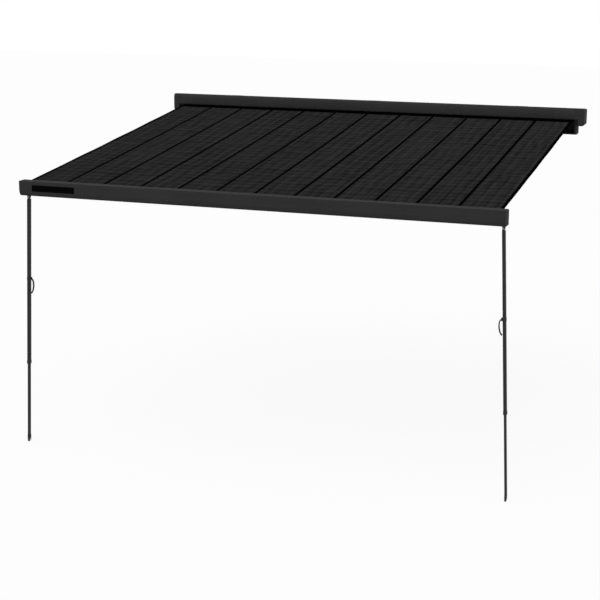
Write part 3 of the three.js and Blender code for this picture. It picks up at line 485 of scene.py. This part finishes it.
def rivet(point, direction, radius, height):
    """A domed head with a dimple."""
    r, h = radius, height
    profile = [
        (r, -0.0004), (r, 0.15 * h), (0.93 * r, 0.5 * h), (0.7 * r, 0.86 * h), (0.4 * r, h),
        (0.22 * r, 0.8 * h), (0.05 * r, 0.72 * h),
    ]
    return turned(profile, facing(point, direction), 20)


def rounded(width, depth, corner, steps):
    """Points of a rounded rectangle round the origin."""
    points = []
    for quarter, (sx, sy) in enumerate(((1, 1), (-1, 1), (-1, -1), (1, -1))):
        for step in range(steps + 1):
            angle = math.pi / 2 * (quarter + step / steps)
            points.append((
                sx * (width / 2 - corner) + corner * math.cos(angle),
                sy * (depth / 2 - corner) + corner * math.sin(angle),
            ))
    return points


def bevelled(piece, width, degrees):
    bevel = piece.modifiers.new("bevel", "BEVEL")
    bevel.width = width
    bevel.segments = 2
    bevel.limit_method = "ANGLE"
    bevel.angle_limit = math.radians(degrees)
    return bevel


def thickened(piece, thickness):
    solid = piece.modifiers.new("thickness", "SOLIDIFY")
    solid.thickness = thickness
    solid.offset = 0.0


def dress(piece, body):
    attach(piece, body)


# Materials

along_z, along_x = (1.0, 1.0, 0.1), (0.02, 1.0, 1.0)
paints = {
    "black_aluminium": coated("black_aluminium", 0.0272, 0.56, 0.03, drawn=True),
    "rail_aluminium": coated("rail_aluminium", 0.0245, 0.60, 0.015, drawn=True),
    "cap_aluminium": coated("cap_aluminium", 0.0245, 0.60, 0.015, grain=0.45),
    "leg_aluminium": coated("leg_aluminium", 0.0172, 0.40, 0.12, grain=0.25),
    "arm_aluminium": coated("arm_aluminium", 0.020, 0.42, 0.22),
    "cast_aluminium": cast_metal("cast_aluminium", 0.028, 0.52),
    "black_plastic": moulded("black_plastic", 0.0115, 0.52, 0.22),
    "badge_plastic": gloss("badge_plastic", 0.0010),
    "seal_rubber": rubber("seal_rubber", 0.0060),
    "steel": bare_metal("steel", 0.42, 0.30, along_z),
    "black_steel": coated("black_steel", 0.016, 0.42, 0.10, grain=0.15),
    "stake_steel": bare_metal("stake_steel", 0.62, 0.38, along_z),
    "roller_aluminium": bare_metal("roller_aluminium", 0.41, 0.34, along_x),
}

slot_names = {
    "black_aluminium": ("back_profile", "cover_profile", "rail_profile"),
    "cap_aluminium": (
        "end_cap_left", "end_cap_right", "rail_end_cap_left", "rail_end_cap_right",
    ),
    "badge_plastic": ("badge_plate",),
    "seal_rubber": ("cover_seal",),
    "roller_aluminium": ("roller_tube",),
    "black_plastic": ("roller_idler_plug", "keder_rod"),
    "steel": ("winch_shaft",),
}


def slot_for(node):
    """The slot of a CAD node that stays in sight, or None for one that a piece replaces."""
    if node in ("canopy", "fabric_winding") or node.startswith("leg_foot"):
        return None
    for slot, names in slot_names.items():
        if node in names:
            return slot
    if node.startswith(("leg_outer_tube", "leg_inner_tube")):
        return "leg_aluminium"
    if "arm_tube" in node:
        return "arm_aluminium"
    if node.startswith(("leg_head", "leg_collar", "lever_band", "lock_lever")):
        return "black_plastic"
    return "steel" if "pin" in node else "cast_aluminium"


# Carried-over nodes keep their shape: a bevel takes the knife edge off, so that it catches light

bevel_of = {
    "black_aluminium": 0.0008, "cap_aluminium": 0.0014, "leg_aluminium": 0.0004,
    "badge_plastic": 0.0005, "black_plastic": 0.0008,
}
other_bevel = 0.0006


def finish_node(node, slot):
    piece = nodes[node]
    mesh = piece.data
    mesh.materials.clear()
    mesh.materials.append(paints["rail_aluminium" if node == "rail_profile" else slot])
    if "custom_normal" in mesh.attributes:
        mesh.attributes.remove(mesh.attributes["custom_normal"])
    mesh.shade_smooth()
    weld = piece.modifiers.new("weld", "WELD")
    weld.merge_threshold = 1e-6
    flat = piece.modifiers.new("flat", "DECIMATE")
    flat.decimate_type = "DISSOLVE"
    flat.angle_limit = math.radians(0.4)
    bevelled(piece, bevel_of.get(slot, other_bevel), 34).harden_normals = True


for node in nodes:
    if slot_for(node):
        finish_node(node, slot_for(node))


# Canopy: one stretched sheet from the keder in the rail to the roller

across_slot = Vector((axle.y - keder.y, axle.z - keder.z))
reach = across_slot.length
wrap_radius = winding_radius + sheet_gap
tilt = math.atan2(across_slot.y, across_slot.x) - math.asin(wrap_radius / reach)
fabric_length = math.sqrt(reach ** 2 - wrap_radius ** 2)
along = Vector((0.0, math.cos(tilt), math.sin(tilt)))
upward = Vector((0.0, -math.sin(tilt), math.cos(tilt)))


def canopy_columns():
    """Places across the cloth: both edges of each hem and seam, and five in each panel."""
    columns = {-fabric_half, fabric_half}
    for edge in (fabric_half - hem_width - 0.001, fabric_half - hem_width + 0.001):
        columns |= {-edge, edge}
    for seam in range(-5, 6):
        middle = seam * seam_pitch
        for offset in (0.0, seam_width / 2, seam_width / 2 + 0.0015):
            columns |= {middle - offset, middle + offset}
    for panel in range(-6, 6):
        columns |= {(panel + share) * seam_pitch for share in (0.14, 0.3, 0.5, 0.7, 0.86)}
    return sorted(round(x, 6) for x in columns)


def canopy_height(u, v):
    """How far the cloth stands off its plane: a sag under its own weight, a shallow trough in
    each panel, folds that fan out from the sides, ripples at the rail, and the tapes."""
    sag_depth, trough_depth, fold_height, ripple_height = 0.006, 0.0022, 0.0012, 0.0006
    tape_height = 0.0006
    from_rail = v - fabric_start
    share = from_rail / (fabric_length - fabric_start)
    span = 4 * share * (1 - share)
    sag = -sag_depth * span * (1 - 0.35 * (u / fabric_half) ** 2)
    trough = -trough_depth * span * math.sin(math.pi * ((u / seam_pitch) % 1.0)) ** 2
    corner = fabric_half - abs(u)
    fold = fold_height * math.sin(38 * corner + 9 * v) * math.exp(-corner / 0.35) * span
    ripple = ripple_height * math.sin(2 * math.pi * u / 0.118 + 1.3 * math.sin(3.1 * u))
    ripple = ripple * math.exp(-from_rail / 0.22) * min(1.0, from_rail / 0.05)
    away = abs((u / seam_pitch + 0.5) % 1.0 - 0.5) * seam_pitch
    taped = away < seam_width / 2 + 0.0003 or corner < hem_width
    return sag + trough + fold + ripple + (tape_height if taped else 0.0)


def build_canopy():
    columns = canopy_columns()
    steps = 84
    rows = [fabric_start + (fabric_length - fabric_start) * k / steps for k in range(steps + 1)]
    verts, uvs = [], []
    for v in rows:
        for u in columns:
            point = keder + along * v + upward * canopy_height(u, v)
            verts.append((u, point.y, point.z))
            uvs.append((u, v))
    faces = sheet_faces(len(rows), len(columns))
    cloth = canopy_cloth("canopy_fabric", fabric_length)
    piece = mesh_piece("canopy_cloth", verts, faces, cloth, True, uvs)
    thickened(piece, cloth_thickness)
    dress(piece, "front_rail")
    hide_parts("canopy")
    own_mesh(piece)
    return cloth


def build_turns(cloth):
    """The turns that stay on the roller: one strip wound six times round it."""
    turns, steps = 6.0, 40
    inner, outer = 0.0384, 0.0415
    columns = np.linspace(-fabric_half, fabric_half, 25)
    verts, uvs = [], []
    length = 0.0
    last = None
    count = int(turns * steps)
    for k in range(count + 1):
        share = k / count
        radius = inner + (outer - inner) * share
        angle = -math.pi / 2 - tilt + 2 * math.pi * turns * (share - 1)
        point = (axle.y + radius * math.cos(angle), axle.z + radius * math.sin(angle))
        if last:
            length += math.dist(point, last)
        last = point
        for x in columns:
            verts.append((x, *point))
            uvs.append((x, length))
    faces = sheet_faces(count + 1, len(columns))
    piece = mesh_piece("turns_of_canopy", verts, faces, cloth, True, uvs)
    thickened(piece, wound_thickness)
    dress(piece, "roller")
    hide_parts("fabric_winding")


build_turns(build_canopy())


# Fasteners

def leg_place(side, x=0.0, y=0.0, z=0.0):
    """A point given in a leg's own frame, from its fold pivot."""
    angle = -side * splay
    return Vector((
        side * leg_x + x * math.cos(angle) + z * math.sin(angle),
        leg_y + y,
        leg_z - x * math.sin(angle) + z * math.cos(angle),
    ))


def face_screws(face, side, places, radius, height, turn):
    """Heads on an end face at places of y and z, each turned a little further than the last."""
    return [
        screw((face, y, z), (side, 0, 0), radius, height, turn * i)
        for i, (y, z) in enumerate(places)
    ]


def build_fasteners(name, side):
    black, steel = paints["black_steel"], paints["steel"]
    heads = face_screws(side * end_cap_face, side, end_cap_screws, 0.0052, 0.0026, 0.4)
    dress(joined(f"end_cap_screws_{name}", heads, black), "cassette")
    heads = face_screws(side * rail_cap_face, side, rail_cap_screws, 0.0042, 0.0020, 0.5)
    dress(joined(f"rail_cap_screws_{name}", heads, black), "front_rail")
    heads = [
        screw(leg_place(side, side * 0.0136, y, collar_z), (side, 0, -0.04), 0.0034, 0.0018, 0.3)
        for y in (-0.008, 0.008)
    ]
    dress(joined(f"collar_screws_{name}", heads, black), f"{name}_leg_outer")
    heads = [
        screw(
            (side * arm_bracket_x + x, arm_bracket_y, arm_bracket_z + z), (0, 1, 0),
            0.0040, 0.0026, 0.2 * x,
        )
        for x in (-0.015, 0.015) for z in (-0.0265, 0.0265)
    ]
    dress(joined(f"rail_bracket_bolts_{name}", heads, steel), "front_rail")
    head = rivet(leg_place(side, 0.0, -0.0140, neck_z), (0, -1, 0), 0.0046, 0.0020)
    dress(joined(f"neck_rivet_{name}", [head], steel), f"{name}_leg_head")


for name, side in sides:
    build_fasteners(name, side)


# Feet: a fork round the tube's end, a toe that leans forward, and a plate behind it for a peg

def plate_with_hole(half_width, height, thickness, hole, place):
    """An upright plate with a round hole: place has +Z as the plate's face direction."""
    count = 28
    outer, inner = [], []
    for k in range(count):
        angle = 2 * math.pi * k / count
        dx, dy = math.cos(angle), math.sin(angle)
        reach = min(
            half_width / max(abs(dx), 1e-6), height / 2 / max(abs(dy), 1e-6),
            0.92 * math.hypot(half_width, height / 2),
        )
        outer.append((dx * reach, dy * reach))
        inner.append((dx * hole, dy * hole - 0.2 * height))
    loops = [(outer, 0.0), (outer, thickness), (inner, thickness), (inner, 0.0)]
    verts = [place @ Vector((x, y, z)) for loop, z in loops for x, y in loop]
    total = len(loops) * count
    faces = [tuple(i % total for i in face) for face in ring_faces(len(loops) + 1, count)]
    return verts, faces


# Each row of the toe: depth under the ankle, half width, front, back and corner radius

toe_rows = (
    (0.0150, 0.0074, -0.0176, 0.0176, 0.0020), (0.0162, 0.0082, -0.0178, 0.0178, 0.0026),
    (0.0215, 0.0084, -0.0178, 0.0160, 0.0030), (0.0290, 0.0080, -0.0178, 0.0075, 0.0030),
    (0.0360, 0.0076, -0.0178, 0.0010, 0.0030), (0.0440, 0.0074, -0.0178, -0.0020, 0.0030),
    (0.0462, 0.0078, -0.0178, -0.0010, 0.0034), (0.0505, 0.0080, -0.0178, -0.0006, 0.0036),
    (0.0520, 0.0070, -0.0170, -0.0016, 0.0032),
)
fork_inner, fork_outer = 0.0145, 0.0174
ear_half, ear_root, ear_foot, ear_edge = 0.0080, -0.010, -0.0200, 0.0005


def toe(ankle):
    rings = []
    for drop, half, front, back, corner in toe_rows:
        middle = (front + back) / 2
        outline = rounded(2 * half, back - front, corner, 4)
        rings.append([ankle + Vector((x, middle + y, -drop)) for x, y in outline])
    return lofted(rings)


def ear(ankle, end):
    """One side of the fork: round on top, straight below, with eased edges."""
    low, high = sorted((end * fork_inner, end * fork_outer))
    rings = []
    for y, grow in (
        (low, -ear_edge), (low + ear_edge, 0.0), (high - ear_edge, 0.0), (high, -ear_edge),
    ):
        half = ear_half + grow
        angles = [math.pi * k / 12 for k in range(13)]
        outline = [(half * math.cos(angle), half * math.sin(angle)) for angle in angles]
        outline += [(-half, ear_root), (-half, ear_foot), (half, ear_foot), (half, ear_root)]
        rings.append([ankle + Vector((x, y, z)) for x, z in outline])
    return lofted(rings)


def build_foot(name, side):
    ankle = leg_place(side, 0.0, 0.0, ankle_z)
    parts = [toe(ankle), ear(ankle, -1), ear(ankle, 1)]
    foot = joined(f"foot_{name}", parts, paints["black_plastic"])
    bevelled(foot, 0.0005, 40)
    dress(foot, f"{name}_foot")
    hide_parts(f"leg_foot_{name}")
    behind = Matrix.Translation(ankle + Vector((0.0, 0.0150, -0.0325)))
    upright = behind @ Matrix.Rotation(math.pi / 2, 4, "X")
    plate = plate_with_hole(0.0085, 0.034, 0.0022, 0.0042, upright)
    tab = joined(f"peg_plate_{name}", [plate], paints["stake_steel"], False)
    dress(tab, f"{name}_foot")
    heads = [
        rivet(ankle + Vector((0.0, end * fork_outer, 0.0)), (0, end, 0), 0.0042, 0.0016)
        for end in (-1, 1)
    ]
    pins = joined(f"ankle_pin_heads_{name}", heads, paints["black_steel"])
    dress(pins, f"{name}_foot")


for name, side in sides:
    build_foot(name, side)


# Camera, light and floor

def build_camera():
    """The photo's camera, as it was fitted to the awning's edges."""
    yaw, pitch, roll = (math.radians(angle) for angle in (19.358, 13.475, -0.215))
    sensor, focal_pixels, frame_pixels = 36.0, 1451.22, 600
    data = bpy.data.cameras.new("camera")
    camera = bpy.data.objects.new("camera", data)
    bpy.context.scene.collection.objects.link(camera)
    ahead = Vector((
        -math.sin(yaw) * math.cos(pitch), math.cos(yaw) * math.cos(pitch), -math.sin(pitch),
    ))
    right = Vector((math.cos(yaw), math.sin(yaw), 0.0))
    down = ahead.cross(right)
    turned_right = right * math.cos(roll) + down * math.sin(roll)
    turned_down = down * math.cos(roll) - right * math.sin(roll)
    basis = Matrix((turned_right, -turned_down, -ahead)).transposed().to_4x4()
    camera.matrix_world = Matrix.Translation((3.9225, -13.2980, 1.4640)) @ basis
    data.sensor_width = sensor
    data.lens = sensor * focal_pixels / frame_pixels
    data.clip_end = 200.0
    bpy.context.scene.camera = camera


def seen(tree):
    """One for what the camera sees, directly or in a mirror or glass."""
    light = tree.nodes.new("ShaderNodeLightPath")
    total = light.outputs["Is Camera Ray"]
    for name in ("Is Glossy Ray", "Is Transmission Ray"):
        more = tree.nodes.new("ShaderNodeMath")
        more.operation = "MAXIMUM"
        tree.links.new(total, more.inputs[0])
        tree.links.new(light.outputs[name], more.inputs[1])
        total = more.outputs[0]
    return total


def white_light(tree, kind, strength):
    made = tree.nodes.new("ShaderNode" + kind)
    made.inputs[0].default_value = grey(1.0)
    made.inputs[1].default_value = strength
    return made.outputs[0]


def show_mix(tree, kind, share, first, second):
    """Sends a mix of two shaders to a new output node."""
    output = tree.nodes.new("ShaderNodeOutput" + kind)
    mix = tree.nodes.new("ShaderNodeMixShader")
    for number, source in enumerate((share, first, second)):
        tree.links.new(source, mix.inputs[number])
    tree.links.new(mix.outputs[0], output.inputs[0])


def build_world():
    """Soft light on the awning, and plain white where the camera sees the world itself."""
    world = bpy.data.worlds.new("studio")
    bpy.context.scene.world = world
    tree = emptied(world)
    soft = white_light(tree, "Background", 0.55)
    show_mix(tree, "World", seen(tree), soft, white_light(tree, "Background", 1.0))


def build_floor():
    """A pale floor that keeps a trace of the awning's shadow."""
    size, z = 40.0, -2.5012
    corners = [(-size, -size, z), (size, -size, z), (size, size, z), (-size, size, z)]
    floor = mesh_piece("floor", corners, [(0, 1, 2, 3)], None, False)
    material = bpy.data.materials.new("floor")
    tree = emptied(material)
    plain = tree.nodes.new("ShaderNodeBsdfDiffuse")
    plain.inputs[0].default_value = grey(0.8)
    share = tree.nodes.new("ShaderNodeMath")
    share.operation = "MULTIPLY"
    share.inputs[1].default_value = 0.90
    tree.links.new(seen(tree), share.inputs[0])
    pale = white_light(tree, "Emission", 1.0)
    show_mix(tree, "Material", share.outputs[0], plain.outputs[0], pale)
    floor.data.materials.append(material)


def build_sun(name, toward, energy):
    """A broad lamp, given by the direction in which its light travels."""
    data = bpy.data.lights.new(name, "SUN")
    data.energy = energy
    data.angle = math.radians(60)
    sun = bpy.data.objects.new(name, data)
    sun.rotation_mode = "QUATERNION"
    sun.rotation_quaternion = Vector(toward).to_track_quat("-Z", "Y")
    sun.location = (0, 0, 6)
    bpy.context.scene.collection.objects.link(sun)


build_camera()
build_world()
build_floor()
build_sun("key", (0.40, 0.62, -1.0), 1.5)
build_sun("fill", (-1.0, 0.45, -0.5), 0.6)
build_sun("front", (-0.1, 1.0, -0.15), 0.6)
bpy.context.scene.view_settings.view_transform = "Standard"
